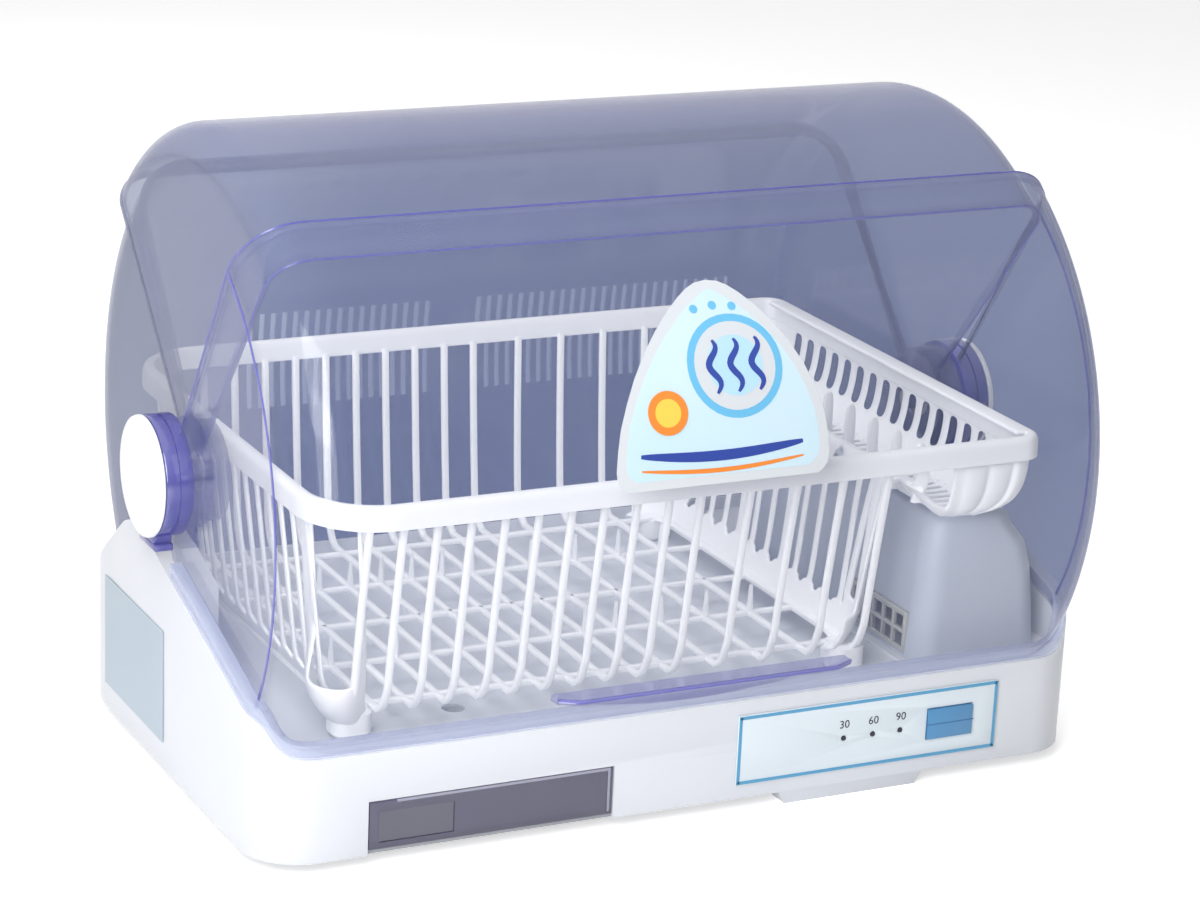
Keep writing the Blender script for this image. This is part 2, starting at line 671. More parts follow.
def add_posts(housing):
    """Add the screw posts under the deck, the board's posts and the toe under the panel."""
    shape = bmesh.new()
    for x, y in post_places():
        rod((x, y, PLATE_TOP_Z + GAP), (x, y, DECK_UNDER_Z + DECK_THICKNESS / 2), POST_RADIUS,
            SCREW_SIDES, shape)
    for x, z in board_post_places():
        rod((x, FRONT_INNER_Y - BASE_WALL / 2, z), (x, BOARD_Y - GAP, z), POST_RADIUS / 2,
            SCREW_SIDES, shape)
    add(housing, shape, "posts")
    holes = bmesh.new()
    for x, y in post_places():
        rod((x, y, 0.0), (x, y, PLATE_TOP_Z + POST_HOLE_DEPTH), SCREW_RADIUS + GAP, SCREW_SIDES, holes)
    for x, z in board_post_places():
        rod((x, FRONT_INNER_Y, z), (x, BOARD_Y + OVERRUN, z), SCREW_RADIUS / 2 + GAP, SCREW_SIDES, holes)
    cut(housing, holes, "post_holes")
    overlap = BASE_WALL / 2
    rear = BASE_FRONT_Y + TOE_DEPTH
    toe = loft([
        [Vector((TOE_LEFT_X, BASE_FRONT_Y, BASE_LIFT + overlap)),
         Vector((TOE_RIGHT_X, BASE_FRONT_Y, BASE_LIFT + overlap)),
         Vector((TOE_RIGHT_X, rear, BASE_LIFT - GAP)),
         Vector((TOE_LEFT_X, rear, BASE_LIFT - GAP))],
        [Vector((TOE_LEFT_X + TOE_SLOPE, BASE_FRONT_Y + GAP, 0.0)),
         Vector((TOE_RIGHT_X - TOE_SLOPE, BASE_FRONT_Y + GAP, 0.0)),
         Vector((TOE_RIGHT_X - TOE_SLOPE, rear - TOE_SLOPE, 0.0)),
         Vector((TOE_LEFT_X + TOE_SLOPE, rear - TOE_SLOPE, 0.0))],
    ])
    add(housing, toe, "toe")


def board_post_places():
    """Return the places of the posts that carry the circuit board, as X and Z."""
    xs = (PANEL_LEFT_X + 2 * BOARD_MARGIN, PANEL_RIGHT_X - BOARD_MARGIN / 2)
    zs = (PANEL_LOW_Z + BOARD_MARGIN, PANEL_HIGH_Z - BOARD_MARGIN)
    return [(x, z) for x in xs for z in zs]


def make_bottom_plate():
    """Make the grey plate that closes the base, with the intake slots and the drawer's runners."""
    inset = BASE_WALL + GAP
    outline = base_outline(inset)
    plate = part("bottom_plate", column([(outline, BASE_LIFT), (outline, PLATE_TOP_Z)]), GREY)
    drawer_low = (DRAWER_LEFT_X - RUNNER_WIDTH - 2 * GAP, BASE_FRONT_Y + inset + BASE_WALL,
                  PLATE_TOP_Z - PLATE_THICKNESS / 2)
    runners = bmesh.new()
    for x in (drawer_low[0], DRAWER_RIGHT_X + 2 * GAP):
        block((x, drawer_low[1] + OVERRUN, drawer_low[2]),
              (x + RUNNER_WIDTH, BASE_FRONT_Y + DRAWER_DEPTH + OVERRUN, PLATE_TOP_Z + RUNNER_HEIGHT),
              runners)
    add(plate, runners, "runners")
    shape = bmesh.new()
    for x, y in post_places():
        rod((x, y, 0.0), (x, y, PLATE_TOP_Z + OVERRUN), SCREW_RADIUS + GAP, SCREW_SIDES, shape)
    for i in range(INTAKE_SLOTS):
        x = FAN_X + (i - (INTAKE_SLOTS - 1) / 2) * INTAKE_PITCH
        block((x - INTAKE_SLOT_WIDTH / 2, FAN_Y - INTAKE_SLOT_LENGTH / 2, 0.0),
              (x + INTAKE_SLOT_WIDTH / 2, FAN_Y + INTAKE_SLOT_LENGTH / 2, PLATE_TOP_Z + OVERRUN), shape)
    cut(plate, shape, "holes")
    toe_gap = block((TOE_LEFT_X - GAP, BASE_FRONT_Y, 0.0),
                    (TOE_RIGHT_X + GAP, BASE_FRONT_Y + TOE_DEPTH + GAP, BASE_LIFT + BASE_WALL))
    cut(plate, toe_gap, "toe_notch")


def make_feet_and_screws():
    """Make the rubber feet under the plate and the screws that hold the plate."""
    x = BASE_HALF - FOOT_INSET_X
    front = BASE_FRONT_Y + FOOT_INSET_FRONT
    rear = BASE_REAR_Y - FOOT_INSET_REAR
    places = {"front_left": (-x, front), "front_right": (x, front), "rear_left": (-x, rear),
              "rear_right": (x, rear)}
    for word, place in places.items():
        foot = rod((*place, 0.0), (*place, BASE_LIFT - GAP), FOOT_RADIUS, PIN_SIDES)
        smooth(part("rubber_foot_" + word, foot, RUBBER, (*place, 0.0)))
    for index, (px, py) in enumerate(post_places()):
        head = BASE_LIFT - GAP - SCREW_HEAD
        shape = screw((px, py, head), (0.0, 0.0, 1.0), PLATE_THICKNESS + 2 * GAP + 2 * POST_RADIUS)
        smooth(part(f"base_screw_{index + 1}", shape, STEEL, (px, py, head)))


def screw(head_place, direction, length, width_share=1.0):
    """Return a round-headed screw as one turned body."""
    head_place = Vector(head_place)
    direction = Vector(direction)
    turn = Vector((0.0, 0.0, 1.0)).rotation_difference(direction)
    wide = SCREW_HEAD_RADIUS * width_share
    thin = SCREW_RADIUS * width_share
    stations = ((0.0, wide * SCREW_DOME_SHARE), (SCREW_HEAD / 2, wide), (SCREW_HEAD, wide),
                (SCREW_HEAD, thin), (SCREW_HEAD + length, thin))
    loops = []
    for height, radius in stations:
        loops.append([head_place + turn @ Vector((radius * math.cos(a), radius * math.sin(a), height))
                      for a in (math.tau * i / SCREW_SIDES for i in range(SCREW_SIDES))])
    return loft(loops)


def cover_profile(half, radius, corner):
    """Return the X and radius of a cover's section, from one hub across to the other."""
    start = HUB_REAR_RADIUS / 2
    points = [(-half, start)]
    for i in range(CORNER_STEPS + 1):
        angle = math.pi / 2 * i / CORNER_STEPS
        points.append((-half + corner - corner * math.cos(angle),
                       radius - corner + corner * math.sin(angle)))
    return points + [(-x, r) for x, r in reversed(points)]


def cover_surface(name, half, radius, corner, wall, top_angle, low_angle):
    """Make a nested cover's shell: its section turned about the hinge line, then thickened inwards."""
    angle = math.radians(top_angle)
    section = bmesh.new()
    row = [section.verts.new((x, -r * math.cos(angle), r * math.sin(angle)))
           for x, r in cover_profile(half, radius, corner)]
    for start, end in zip(row, row[1:]):
        section.edges.new((start, end))
    mesh = bpy.data.meshes.new(name)
    section.to_mesh(mesh)
    section.free()
    cover = bpy.data.objects.new(name, mesh)
    sweep = cover.modifiers.new("turn", "SCREW")
    sweep.axis = "X"
    sweep.angle = math.radians(top_angle - low_angle)
    sweep.steps = facet_count(top_angle, low_angle)
    sweep.render_steps = sweep.steps
    sweep.merge_threshold = MERGE_DISTANCE
    sweep.use_normal_flip = True
    sweep.use_smooth_shade = False
    thick = cover.modifiers.new("wall", "SOLIDIFY")
    thick.thickness = wall
    thick.offset = -1.0
    thick.use_even_offset = True
    return cover


def cover_part(name, half, radius, corner, top_angle, low_angle, parent=None):
    """Add a cover's shell as a part whose origin is on the hinge line."""
    cover = cover_surface(name, half, radius, corner, COVER_WALL, top_angle, low_angle)
    PARTS.objects.link(cover)
    cover.data.materials.append(CLEAR)
    if parent is None:
        cover.location = PIVOT
    else:
        cover.parent = parent
    return cover


def add_rim(cover, name, half, radius, corner, edge_angle, direction):
    """Join a thick rim along one radial edge of a cover; direction 1 is the edge with the larger angle."""
    outer = edge_angle + direction * RIM_OVERLAP_ANGLE
    inner = edge_angle - direction * RIM_ANGLE
    rim = cover_surface(cover.name + "_" + name, half + RIM_PROUD, radius + RIM_PROUD,
                        corner + RIM_PROUD, RIM_WALL, max(outer, inner), min(outer, inner))
    CUTTERS.objects.link(hide_tool(rim))
    rim.location = PIVOT
    boolean(cover, rim, "UNION")


def add_hubs(cover, radius, start_x, end_x):
    """Join the two hinge hubs to a cover and bore them for the pins."""
    discs = bmesh.new()
    bores = bmesh.new()
    for side in SIDES:
        rod((side * start_x, PIVOT_Y, PIVOT_Z), (side * end_x, PIVOT_Y, PIVOT_Z), radius, HUB_SIDES, discs)
        rod((side * (start_x - OVERRUN), PIVOT_Y, PIVOT_Z), (side * (end_x + OVERRUN), PIVOT_Y, PIVOT_Z),
            PIN_RADIUS + GAP, PIN_SIDES, bores)
    add(cover, discs, "hubs")
    cut(cover, bores, "bores")


def make_front_cover(axis):
    """Make the outer cover that lifts first, with its flange, handle lip and stop lugs."""
    cover = cover_part("front_cover", FRONT_COVER_HALF, FRONT_COVER_RADIUS, FRONT_COVER_CORNER,
                       FRONT_TOP_ANGLE, FRONT_LOW_ANGLE, axis)
    line = cheek_line(GAP)
    reach = FRONT_COVER_RADIUS + OVERRUN
    below = [(-reach, line[0][1])] + line + [(line[-1][0], -reach), (-reach, -reach)]
    cut(cover, prism(below, -BASE_WIDTH, BASE_WIDTH), "below")
    add_rim(cover, "top_rim", FRONT_COVER_HALF, FRONT_COVER_RADIUS, FRONT_COVER_CORNER,
            FRONT_TOP_ANGLE, 1)
    add_flange(cover)
    add_lip(cover)
    lugs = bmesh.new()
    for side in SIDES:
        low_x, high_x = sorted((side * LUG_START_X, side * (HUB_OUTER_X - GAP)))
        hub_low = PIVOT_Z - HUB_FRONT_RADIUS
        block((low_x, PIVOT_Y - LUG_HALF, CHEEK_PEAK_Z + GAP),
              (high_x, PIVOT_Y + LUG_HALF, hub_low + LUG_OVERLAP), lugs)
    add_hubs(cover, HUB_FRONT_RADIUS, HUB_SPLIT_X + GAP, HUB_OUTER_X)
    add(cover, lugs, "lugs")
    return cover


def add_flange(cover):
    """Join the flange that seats on the base's top edge, along both cheeks and the front."""
    top = CHEEK_PEAK_Z + OVERRUN
    outer = base_outline(FLANGE_INSET)
    inner = base_outline(FLANGE_INSET + FLANGE_WIDTH)
    loops = [[Vector((x, y, z)) for x, y in points]
             for points, z in ((inner, DECK_TOP_Z), (outer, DECK_TOP_Z), (outer, top), (inner, top))]
    flange = tool("front_cover_flange", loft(loops, closed=True))
    line = [(y, z) for y, z in cheek_line() if y < FLANGE_END_Y]
    line.append((FLANGE_END_Y, cheek_height(FLANGE_END_Y)))
    low = [(y, z + 2 * GAP) for y, z in line]
    high = [(y, z + FLANGE_HEIGHT) for y, z in reversed(line)]
    boolean(flange, tool("flange_band", prism(low + high, -BASE_WIDTH, BASE_WIDTH)), "INTERSECT")
    boolean(cover, flange, "UNION")


def add_lip(cover):
    """Join the finger lip across the lower front."""
    mid = FRONT_COVER_RADIUS - COVER_WALL / 2

    def on_cover(z):
        return PIVOT_Y - math.sqrt(mid ** 2 - (PIVOT_Z - z) ** 2)

    top_y = on_cover(LIP_TOP_Z)
    root_z = LIP_TOP_Z - LIP_ROOT_DROP
    points = [
        (top_y, LIP_TOP_Z - LIP_DROP / 2),
        (top_y - LIP_REACH, LIP_TOP_Z),
        (top_y - LIP_REACH, LIP_TOP_Z - LIP_DROP),
        (on_cover(root_z), root_z),
    ]
    add(cover, prism(points, LIP_CENTRE_X - LIP_HALF, LIP_CENTRE_X + LIP_HALF), "lip")


def make_middle_cover(axis):
    """Make the cover that carries the top of the dome and slides back over the rear one."""
    cover = cover_part("middle_cover", MIDDLE_COVER_HALF, MIDDLE_COVER_RADIUS, MIDDLE_COVER_CORNER,
                       MIDDLE_REAR_ANGLE, MIDDLE_FRONT_ANGLE, axis)
    for name, angle, direction in (("rear_rim", MIDDLE_REAR_ANGLE, 1),
                                   ("front_rim", MIDDLE_FRONT_ANGLE, -1)):
        add_rim(cover, name, MIDDLE_COVER_HALF, MIDDLE_COVER_RADIUS, MIDDLE_COVER_CORNER,
                angle, direction)
    start = HUB_REAR_END_X + 2 * GAP + WASHER_THICKNESS
    add_hubs(cover, HUB_MIDDLE_RADIUS, start, HUB_SPLIT_X)
    return cover


def make_rear_cover():
    """Make the fixed inner cover, with its rows of steam slots."""
    cover = cover_part("rear_cover", REAR_COVER_HALF, REAR_COVER_RADIUS, REAR_COVER_CORNER,
                       REAR_LOW_ANGLE, REAR_FRONT_ANGLE)
    reach = REAR_COVER_RADIUS + OVERRUN
    floor = [(-reach, -reach), (reach, -reach), (reach, REAR_WALL_TOP_Z + GAP),
             (-reach, REAR_WALL_TOP_Z + GAP)]
    cut(cover, prism(floor, -BASE_WIDTH, BASE_WIDTH), "below")
    add_rim(cover, "front_rim", REAR_COVER_HALF, REAR_COVER_RADIUS, REAR_COVER_CORNER,
            REAR_FRONT_ANGLE, -1)
    add_hubs(cover, HUB_REAR_RADIUS, HUB_REAR_START_X, HUB_REAR_END_X)
    slots = bmesh.new()
    near = REAR_COVER_RADIUS * VENT_NEAR_SHARE
    for first, count in ((VENT_LEFT_X, VENT_LEFT_COUNT), (VENT_RIGHT_X, VENT_RIGHT_COUNT)):
        for i in range(count):
            x = first + i * VENT_PITCH
            for low, high in (VENT_UPPER_Z, VENT_LOWER_Z):
                block((x, near, low), (x + VENT_WIDTH, reach + OVERRUN, high), slots)
    cut(cover, slots, "vents")
    return cover


def make_hinge_hardware():
    """Make the pins, the washers and the round caps on both ends of the hinge line."""
    for side, word in ((-1, "left"), (1, "right")):
        start = Vector((side * (HUB_REAR_START_X + GAP), PIVOT_Y, PIVOT_Z))
        end = Vector((side * (HUB_OUTER_X + CAP_THICKNESS / 3), PIVOT_Y, PIVOT_Z))
        smooth(part("hinge_pin_" + word, rod(start, end, PIN_RADIUS, PIN_SIDES), STEEL, PIVOT))
        low = Vector((side * (HUB_REAR_END_X + GAP), PIVOT_Y, PIVOT_Z))
        high = low + Vector((side * WASHER_THICKNESS, 0.0, 0.0))
        smooth(part("hinge_washer_" + word, ring(low, high, WASHER_RADIUS, PIN_RADIUS + GAP, PIN_SIDES),
                    NYLON, PIVOT))
        inner = Vector((side * (HUB_OUTER_X + GAP), PIVOT_Y, PIVOT_Z))
        outer = Vector((side * (HUB_OUTER_X + CAP_THICKNESS), PIVOT_Y, PIVOT_Z))
        chamfer = inner.lerp(outer, 1 - CAP_SKIRT / CAP_THICKNESS)
        loops = []
        for centre, radius in ((inner, HUB_FRONT_RADIUS), (chamfer, HUB_FRONT_RADIUS),
                               (outer, HUB_FRONT_RADIUS - CAP_SKIRT)):
            loops.append([centre + Vector((0.0, radius * math.cos(a), radius * math.sin(a)))
                          for a in (math.tau * i / HUB_SIDES for i in range(HUB_SIDES))])
        cap = part("hinge_cap_" + word, loft(loops), WHITE, PIVOT)
        bore_end = end + Vector((side * GAP, 0.0, 0.0))
        cut(cap, rod(start, bore_end, PIN_RADIUS + GAP, PIN_SIDES), "socket")


def rib_places():
    """Return the X of every rib across the rack."""
    near = [RIB_FIRST_X + i * RIB_NEAR_PITCH for i in range(RIB_NEAR_COUNT + 1)]
    return near + [near[-1] + (i + 1) * RIB_WIDE_PITCH for i in range(RIB_WIDE_COUNT)]


def bar_places():
    """Return the Y of every cross bar in the rack's floor."""
    return [CROSS_BAR_FIRST_Y + i * CROSS_BAR_PITCH for i in range(CROSS_BAR_COUNT)]


def tub_shape(inset, floor_lift, top_z):
    """Return the deep part of the rack, drawn in by an inset, as a solid up to a height."""
    span = RACK_RIM_TOP_Z - TUB_FLOOR_Z
    heel = TUB_HEEL_RISE / span
    top = (-RACK_RIM_HALF + TUB_TOP_INSET, TUB_TOP_RIGHT_X, RACK_FRONT_Y + TUB_TOP_INSET,
           RACK_REAR_Y - TUB_TOP_INSET)
    low = (TUB_BOTTOM_LEFT_X, TUB_BOTTOM_RIGHT_X, TUB_BOTTOM_FRONT_Y, TUB_BOTTOM_REAR_Y)
    outlines = []
    for share, out, radius in ((0.0, 0.0, TUB_BOTTOM_CORNER), (heel, TUB_HEEL_OUT, RACK_CORNER),
                               (1.0, 0.0, RACK_CORNER)):
        left, right, front, rear = (a + (b - a) * share for a, b in zip(low, top))
        points = rounded(left - out + inset, right + out - inset, front - out + inset,
                         rear + out - inset, radius - inset, radius - inset, steps=4)
        z = TUB_FLOOR_Z + span * share
        outlines.append((points, z + floor_lift if share < 1.0 else top_z))
    return column(outlines)


def tray_shape(inset, left_x, floor_z, top_z):
    """Return the shallow cup tray on the right of the rack as a solid up to a height."""
    right = RACK_RIM_HALF - TUB_TOP_INSET
    front = RACK_FRONT_Y + TUB_TOP_INSET
    rear = RACK_REAR_Y - TUB_TOP_INSET
    corner = RACK_CORNER / 2
    outlines = []
    for z, draw in ((floor_z, TRAY_BOTTOM_INSET), (floor_z + TRAY_BOTTOM_INSET / 2, TRAY_BOTTOM_INSET / 4),
                    (RACK_RIM_UNDER_Z, 0.0), (top_z, 0.0)):
        points = rounded(left_x, right - draw - inset, front + draw + inset, rear - draw - inset,
                         corner - inset, corner - inset, steps=4)
        outlines.append((points, z))
    return column(outlines)


def rack_moulding():
    """Return the whole white rack: rim, ribbed tub, cup tray, pegs and feet, as one hidden tool."""
    top = RACK_RIM_TOP_Z
    tub_side, tray_side = (
        rounded(-RACK_RIM_HALF, RACK_RIM_HALF, RACK_FRONT_Y, RACK_REAR_Y, corner, corner, steps=6)
        for corner in (RACK_CORNER, RACK_TRAY_CORNER))
    rim = [near if near[0] < 0 else far for near, far in zip(tub_side, tray_side)]
    rack = tool("rack_moulding", column([(rim, RACK_RIM_UNDER_Z), (rim, top)]))
    under = RACK_RIM_UNDER_Z + RACK_WALL
    add(rack, tub_shape(0.0, 0.0, under), "tub")
    add(rack, tray_shape(0.0, TRAY_LEFT_X, TRAY_FLOOR_Z, under), "tray")
    cut(rack, tub_shape(RACK_WALL, TUB_FLOOR_THICKNESS, top + OVERRUN), "tub_inside")
    inner_left = TRAY_LEFT_X - RACK_CORNER
    cut(rack, tray_shape(TRAY_WALL, inner_left, TRAY_FLOOR_Z + TRAY_WALL, top + OVERRUN), "tray_inside")
    cut(rack, rib_slots(), "rib_slots")
    cut(rack, side_slots(), "side_slots")
    cut(rack, corner_gaps(), "corner_gaps")
    add(rack, pegs(), "pegs")
    feet = bmesh.new()
    for x in (TUB_BOTTOM_LEFT_X + RACK_FOOT_INSET, TUB_BOTTOM_RIGHT_X - RACK_FOOT_INSET):
        for y in (TUB_BOTTOM_FRONT_Y + RACK_FOOT_SETBACK, TUB_BOTTOM_REAR_Y - RACK_FOOT_SETBACK):
            block((x - RACK_FOOT_LENGTH, y - CROSS_BAR_WIDTH / 2, DECK_TOP_Z + GAP),
                  (x + RACK_FOOT_LENGTH, y + CROSS_BAR_WIDTH / 2, TUB_FLOOR_Z + TUB_FLOOR_THICKNESS / 2),
                  feet)
    add(rack, feet, "feet")
    return rack


def rack_sections():
    """Return the name and the box of each section of the rack, a clearance apart from the next."""
    half = GAP / 2
    left = -RACK_RIM_HALF - OVERRUN
    right = RACK_RIM_HALF + OVERRUN
    front = RACK_FRONT_Y - OVERRUN
    rear = RACK_REAR_Y + OVERRUN
    low = DECK_TOP_Z
    high = max(RACK_RIM_TOP_Z, CUP_PEG_TOP_Z) + OVERRUN
    left_x = TUB_BOTTOM_LEFT_X + RACK_SECTION_LEFT_INSET
    right_x = rib_places()[-1] - RIB_WIDTH / 2 - half
    front_y = TUB_BOTTOM_FRONT_Y + RACK_SECTION_INSET
    rear_y = TUB_BOTTOM_REAR_Y - RACK_SECTION_INSET
    tray_z = TRAY_FLOOR_Z - RACK_SECTION_DROP
    return (
        ("rack_front", (left, front, low), (right_x - half, front_y - half, high)),
        ("rack_rear", (left, rear_y + half, low), (right_x - half, rear, high)),
        ("rack_left", (left, front_y + half, low), (left_x - half, rear_y - half, high)),
        ("rack_floor", (left_x + half, front_y + half, low), (right_x - half, rear_y - half, high)),
        ("rack_right", (right_x + half, front, low), (right, rear, tray_z - half)),
        ("rack_tray", (right_x + half, front, tray_z + half), (right, rear, high)),
    )


def make_rack():
    """Make the lift-out rack in six sections, so that its collision stays open where it is open."""
    moulding = rack_moulding()
    for name, low, high in rack_sections():
        boolean(part(name, block(low, high), WHITE), moulding, "INTERSECT")


def rib_slots():
    """Return the openings between the ribs, through the front, the floor and the rear."""
    slots = bmesh.new()
    ribs = rib_places()
    bars = bar_places()
    low_z = TUB_FLOOR_Z - OVERRUN
    floor_z = TUB_FLOOR_Z + TUB_FLOOR_THICKNESS + OVERRUN
    for start, end in zip(ribs, ribs[1:]):
        x0 = start + RIB_WIDTH / 2
        x1 = end - RIB_WIDTH / 2
        block((x0, RACK_FRONT_Y - OVERRUN, low_z), (x1, bars[0] - CROSS_BAR_WIDTH / 2, RACK_RIM_UNDER_Z),
              slots)
        block((x0, bars[-1] + CROSS_BAR_WIDTH / 2, low_z), (x1, RACK_REAR_Y + OVERRUN, RACK_RIM_UNDER_Z),
              slots)
        for near, far in zip(bars, bars[1:]):
            block((x0, near + CROSS_BAR_WIDTH / 2, low_z), (x1, far - CROSS_BAR_WIDTH / 2, floor_z), slots)
    return slots


def side_slots():
    """Return the openings in the left wall, the tub's right wall and the cup tray's outer wall."""
    slots = bmesh.new()
    low_z = TUB_FLOOR_Z + TUB_HEEL_RISE / 2
    for i in range(-1, SIDE_SLOT_COUNT + 1):
        y = SIDE_SLOT_FIRST_Y + i * SIDE_SLOT_PITCH
        if 0 <= i < SIDE_SLOT_COUNT:
            block((-RACK_RIM_HALF - OVERRUN, y, low_z),
                  (TUB_BOTTOM_LEFT_X + RACK_WALL, y + SIDE_SLOT_WIDTH, RACK_RIM_UNDER_Z), slots)
        block((TUB_BOTTOM_RIGHT_X - RACK_WALL, y, low_z),
              (TUB_TOP_RIGHT_X + OVERRUN, y + SIDE_SLOT_WIDTH, TRAY_FLOOR_Z - GAP), slots)
    for i in range(TRAY_SLOT_COUNT):
        y = TRAY_SLOT_FIRST_Y + i * TRAY_SLOT_PITCH
        block((RACK_RIM_HALF - 2 * TRAY_BOTTOM_INSET / 3, y, RACK_RIM_UNDER_Z - TRAY_SLOT_DEPTH),
              (RACK_RIM_HALF + OVERRUN, y + TRAY_SLOT_WIDTH, RACK_RIM_UNDER_Z), slots)
    block((TRAY_WINDOW_LEFT_X, RACK_FRONT_Y - OVERRUN, RACK_RIM_UNDER_Z - TRAY_WINDOW_HEIGHT),
          (TRAY_WINDOW_LEFT_X + TRAY_WINDOW_WIDTH, RACK_FRONT_Y + TRAY_BOTTOM_INSET, RACK_RIM_UNDER_Z),
          slots)
    return slots


def corner_gaps():
    """Return the openings at the tub's four corners, beside the outer ribs."""
    gaps = bmesh.new()
    heel_z = TUB_FLOOR_Z + TUB_HEEL_RISE
    first = rib_places()[0] - RIB_WIDTH / 2
    last = rib_places()[-1] + RIB_WIDTH / 2
    for near, far in ((RACK_FRONT_Y - OVERRUN, TUB_BOTTOM_FRONT_Y + RACK_WALL),
                      (TUB_BOTTOM_REAR_Y - RACK_WALL, RACK_REAR_Y + OVERRUN)):
        block((-RACK_RIM_HALF + CORNER_GAP_INSET, near, heel_z), (first, far, RACK_RIM_UNDER_Z), gaps)
        block((last, near, heel_z), (last + CORNER_GAP_WIDTH, far, TRAY_FLOOR_Z - GAP), gaps)
    return gaps


def pegs():
    """Return the short plate pegs on the floor's ribs and the tall cup pegs in the tray."""
    shape = bmesh.new()
    bars = bar_places()
    seat = TUB_FLOOR_Z + TUB_FLOOR_THICKNESS / 2
    half = PLATE_PEG_WIDTH / 2
    for x in rib_places()[1:-1]:
        for y in (bars[1], bars[3]):
            rod((x, y, seat), (x, y, seat + PLATE_PEG_HEIGHT), half, 4, shape, half / 2)
    for i in range(CUP_PEG_COUNT):
        y = CUP_PEG_FIRST_Y + i * CUP_PEG_PITCH
        block((CUP_PEG_X - CUP_PEG_WIDTH / 2, y - CUP_PEG_DEPTH / 2, TRAY_FLOOR_Z + TRAY_WALL / 2),
              (CUP_PEG_X + CUP_PEG_WIDTH / 2, y + CUP_PEG_DEPTH / 2, CUP_PEG_TOP_Z), shape)
    return shape


def duct_shape(inset, low_z, high_z):
    """Return the front block of the blower housing, drawn in by an inset."""
    outlines = []
    for z, draw, flare in ((low_z, 0.0, 0.0), (high_z - 2 * DUCT_FLARE, DUCT_DRAFT / 2, DUCT_DRAFT / 2),
                           (high_z - DUCT_CROWN, DUCT_DRAFT, DUCT_FLARE),
                           (high_z, DUCT_DRAFT + DUCT_CROWN, DUCT_FLARE + DUCT_CROWN)):
        points = rounded(DUCT_LEFT_X + draw + inset, DUCT_RIGHT_X - flare - inset,
                         DUCT_FRONT_Y + draw / 2 + inset, DUCT_STEP_Y - inset,
                         DUCT_CORNER - inset, DUCT_CORNER / 2 - inset, steps=4)
        outlines.append((points, z))
    return column(outlines)


def fan_room_shape(inset, low_z, high_z):
    """Return the rear block of the blower housing, round the fan, drawn in by an inset."""
    outlines = []
    for z, draw in ((low_z, 0.0), (high_z - DUCT_CROWN, DUCT_DRAFT / 2),
                    (high_z, DUCT_DRAFT / 2 + DUCT_CROWN)):
        points = rounded(DUCT_LEFT_X + draw + inset, FAN_ROOM_RIGHT_X - draw / 2 - inset,
                         DUCT_STEP_Y - 2 * DUCT_CORNER + inset, FAN_ROOM_REAR_Y - draw - inset,
                         DUCT_CORNER - inset, DUCT_CORNER - inset, steps=4)
        outlines.append((points, z))
    return column(outlines)


def make_blower_housing():
    """Make the white hood over the fan and the heater, open below, with its outlet on the left."""
    low = DECK_TOP_Z + GAP
    hood = part("blower_housing", duct_shape(0.0, low, DUCT_TOP_Z), WHITE)
    add(hood, fan_room_shape(0.0, low, DUCT_TOP_Z - DUCT_CROWN / 2), "fan_room")
    inside_top = DUCT_TOP_Z - DUCT_WALL
    cut(hood, duct_shape(DUCT_WALL, low - OVERRUN, inside_top), "duct_inside")
    cut(hood, fan_room_shape(DUCT_WALL, low - OVERRUN, inside_top - DUCT_CROWN / 2), "fan_room_inside")
    mouth = block((DUCT_LEFT_X - OVERRUN, GRILLE_FRONT_Y - GAP, GRILLE_LOW_Z - GAP),
                  (DUCT_LEFT_X + OVERRUN, GRILLE_REAR_Y + GAP, GRILLE_HIGH_Z + GAP))
    cut(hood, mouth, "outlet")


def make_grille():
    """Make the outlet grille that clips into the housing's mouth."""
    x0 = DUCT_LEFT_X - GAP
    x1 = x0 + GRILLE_THICKNESS
    grille = part("outlet_grille", block((x0, GRILLE_FRONT_Y, GRILLE_LOW_Z),
                                         (x1, GRILLE_REAR_Y, GRILLE_HIGH_Z)), GREY)
    holes = bmesh.new()
    width = (GRILLE_REAR_Y - GRILLE_FRONT_Y - 2 * GRILLE_FRAME + GRILLE_BAR) / GRILLE_COLUMNS
    height = (GRILLE_HIGH_Z - GRILLE_LOW_Z - 2 * GRILLE_FRAME + GRILLE_BAR) / GRILLE_ROWS
    for column_index in range(GRILLE_COLUMNS):
        for row_index in range(GRILLE_ROWS):
            y = GRILLE_FRONT_Y + GRILLE_FRAME + column_index * width
            z = GRILLE_LOW_Z + GRILLE_FRAME + row_index * height
            block((x0 - OVERRUN, y, z), (x1 + OVERRUN, y + width - GRILLE_BAR, z + height - GRILLE_BAR),
                  holes)
    cut(grille, holes, "openings")


